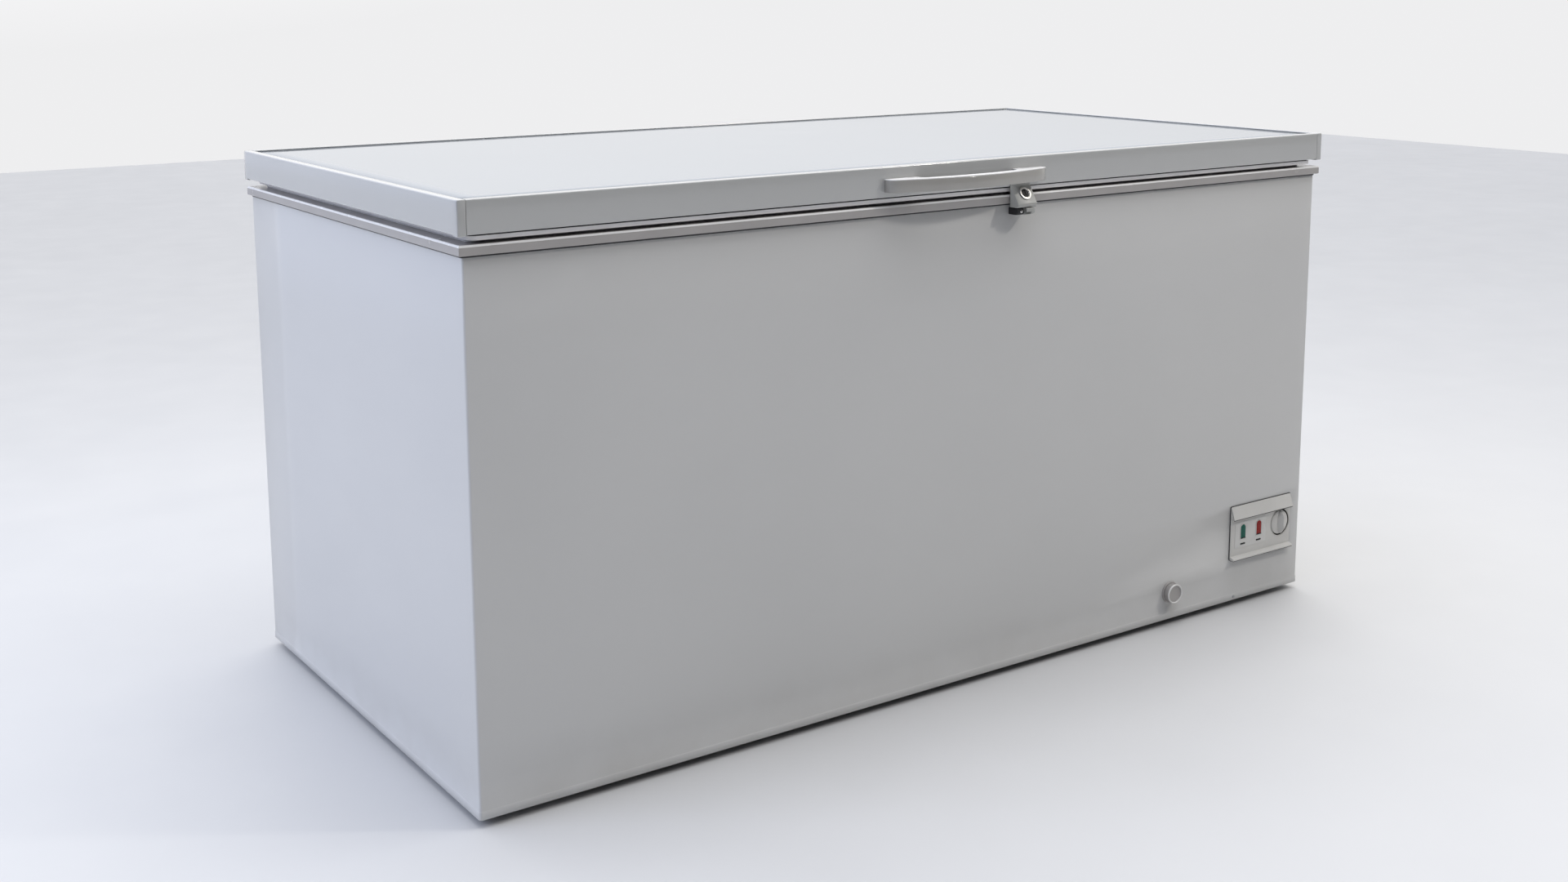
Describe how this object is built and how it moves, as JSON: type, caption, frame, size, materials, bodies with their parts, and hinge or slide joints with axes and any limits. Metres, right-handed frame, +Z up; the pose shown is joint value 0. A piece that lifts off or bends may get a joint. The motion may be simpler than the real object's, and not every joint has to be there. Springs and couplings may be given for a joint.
{
  "type": "chest freezer",
  "caption": "Long low chest freezer with a hinged lockable lid, front grab handle, thermostat panel, defrost drain and recessed wheels.",
  "frame": {"origin": "on the floor, under the middle of the whole footprint (handle to hinge housings)", "axes": "+X to the right seen from the front, +Y towards the back (hinges), +Z up; the handle and controls are on the -Y side"},
  "size_m": [1.666, 0.912, 0.847],
  "materials": {
    "case_paint": "satin",
    "lid_gloss_paint": "gloss",
    "lid_frame": "satin",
    "collar_plastic": "satin",
    "panel_plastic": "satin",
    "handle_plastic": "satin",
    "lock_plastic": "satin",
    "gasket_vinyl": "matte",
    "foam": "matte",
    "liner_sheet": "satin",
    "steel": "satin",
    "bright_steel": "polished",
    "copper_tube": "satin",
    "black_enamel": "satin",
    "black_plastic": "matte",
    "wheel_rubber": "matte",
    "green_lens": "gloss",
    "red_lens": "gloss"
  },
  "bodies": {
    "root": {"front_panel": "case_paint", "left_side_panel": "case_paint", "right_side_panel": "case_paint", "back_panel": "case_paint", "base_pan": "steel", "rear_compressor_cover": "case_paint", "cord_gland": "black_plastic", "insulation_foam": "foam", "inner_liner": "liner_sheet", "evaporator_tube": "copper_tube", "condenser_tube": "copper_tube", "compressor_shell": "black_enamel", "compressor_mount": "steel", "relay_box": "black_plastic", "filter_drier": "copper_tube", "collar_front": "collar_plastic", "collar_back": "collar_plastic", "collar_right": "collar_plastic", "collar_left": "collar_plastic", "control_bezel": "panel_plastic", "power_lens_green": "green_lens", "alarm_lens_red": "red_lens", "lamp_holder": "black_plastic", "thermostat_body": "black_plastic", "drain_tube": "collar_plastic", "drain_collar": "collar_plastic", "lock_strike": "lock_plastic", "hinge_bracket_left": "steel", "hinge_bracket_right": "steel", "hinge_pin_left": "bright_steel", "hinge_pin_right": "bright_steel", "hinge_spring_left": "bright_steel", "hinge_spring_right": "bright_steel", "caster_bracket_front_left": "steel", "caster_bracket_front_right": "steel", "caster_bracket_back_left": "steel", "caster_bracket_back_right": "steel"},
    "lid": {"lid_top_sheet": "lid_gloss_paint", "lid_foam": "foam", "lid_liner": "liner_sheet", "lid_gasket": "gasket_vinyl", "lid_rail_front": "lid_frame", "lid_rail_back": "lid_frame", "lid_rail_left": "lid_frame", "lid_rail_right": "lid_frame", "lid_handle": "handle_plastic", "lock_housing": "lock_plastic", "hinge_leaf_left": "steel", "hinge_leaf_right": "steel"},
    "lock_barrel": {"lock_barrel": "bright_steel"},
    "lock_bolt": {"lock_bolt": "bright_steel"},
    "thermostat_knob": {"thermostat_knob": "panel_plastic"},
    "drain_cap": {"drain_cap": "collar_plastic"},
    "drain_stopper": {"drain_stopper": "wheel_rubber"},
    "caster_wheel_front_left": {"caster_wheel_front_left": "wheel_rubber"},
    "caster_wheel_front_right": {"caster_wheel_front_right": "wheel_rubber"},
    "caster_wheel_back_left": {"caster_wheel_back_left": "wheel_rubber"},
    "caster_wheel_back_right": {"caster_wheel_back_right": "wheel_rubber"}
  },
  "joints": [
    {"name": "lid_hinge", "type": "hinge", "parent": "root", "child": "lid", "pos_m": [0, 0.43, 0.787], "axis": [-1, 0, 0], "range_deg": [0, 80]},
    {"name": "lock_turn", "type": "hinge", "parent": "lid", "child": "lock_barrel", "pos_m": [0.113, -0.42856, 0.79], "axis": [0, -0.8462, 0.5328], "range_deg": [0, 90]},
    {"name": "lock_bolt_slide", "type": "slide", "parent": "lid", "child": "lock_bolt", "axis": [0, -0.5328, -0.8462], "range_m": [0, 0.009]},
    {"name": "thermostat_turn", "type": "hinge", "parent": "root", "child": "thermostat_knob", "pos_m": [0.77, -0.41, 0.137], "axis": [0, -1, 0], "range_deg": [-135, 135]},
    {"name": "drain_cap_pull", "type": "slide", "parent": "root", "child": "drain_cap", "axis": [0, -1, 0], "range_m": [0, 0.035]},
    {"name": "drain_stopper_lift", "type": "slide", "parent": "root", "child": "drain_stopper", "axis": [0, 0, 1], "range_m": [0, 0.03]},
    {"name": "caster_wheel_front_left_spin", "type": "hinge", "parent": "root", "child": "caster_wheel_front_left", "pos_m": [-0.7, -0.3, 0.02], "axis": [0, 1, 0], "continuous": true},
    {"name": "caster_wheel_front_right_spin", "type": "hinge", "parent": "root", "child": "caster_wheel_front_right", "pos_m": [0.7, -0.3, 0.02], "axis": [0, 1, 0], "continuous": true},
    {"name": "caster_wheel_back_left_spin", "type": "hinge", "parent": "root", "child": "caster_wheel_back_left", "pos_m": [-0.7, 0.3, 0.02], "axis": [0, 1, 0], "continuous": true},
    {"name": "caster_wheel_back_right_spin", "type": "hinge", "parent": "root", "child": "caster_wheel_back_right", "pos_m": [0.7, 0.3, 0.02], "axis": [0, 1, 0], "continuous": true}
  ],
  "couplings": [
    {"joint": "lock_bolt_slide", "follows": "lock_turn", "m_per_rad": 0.00573}
  ]
}
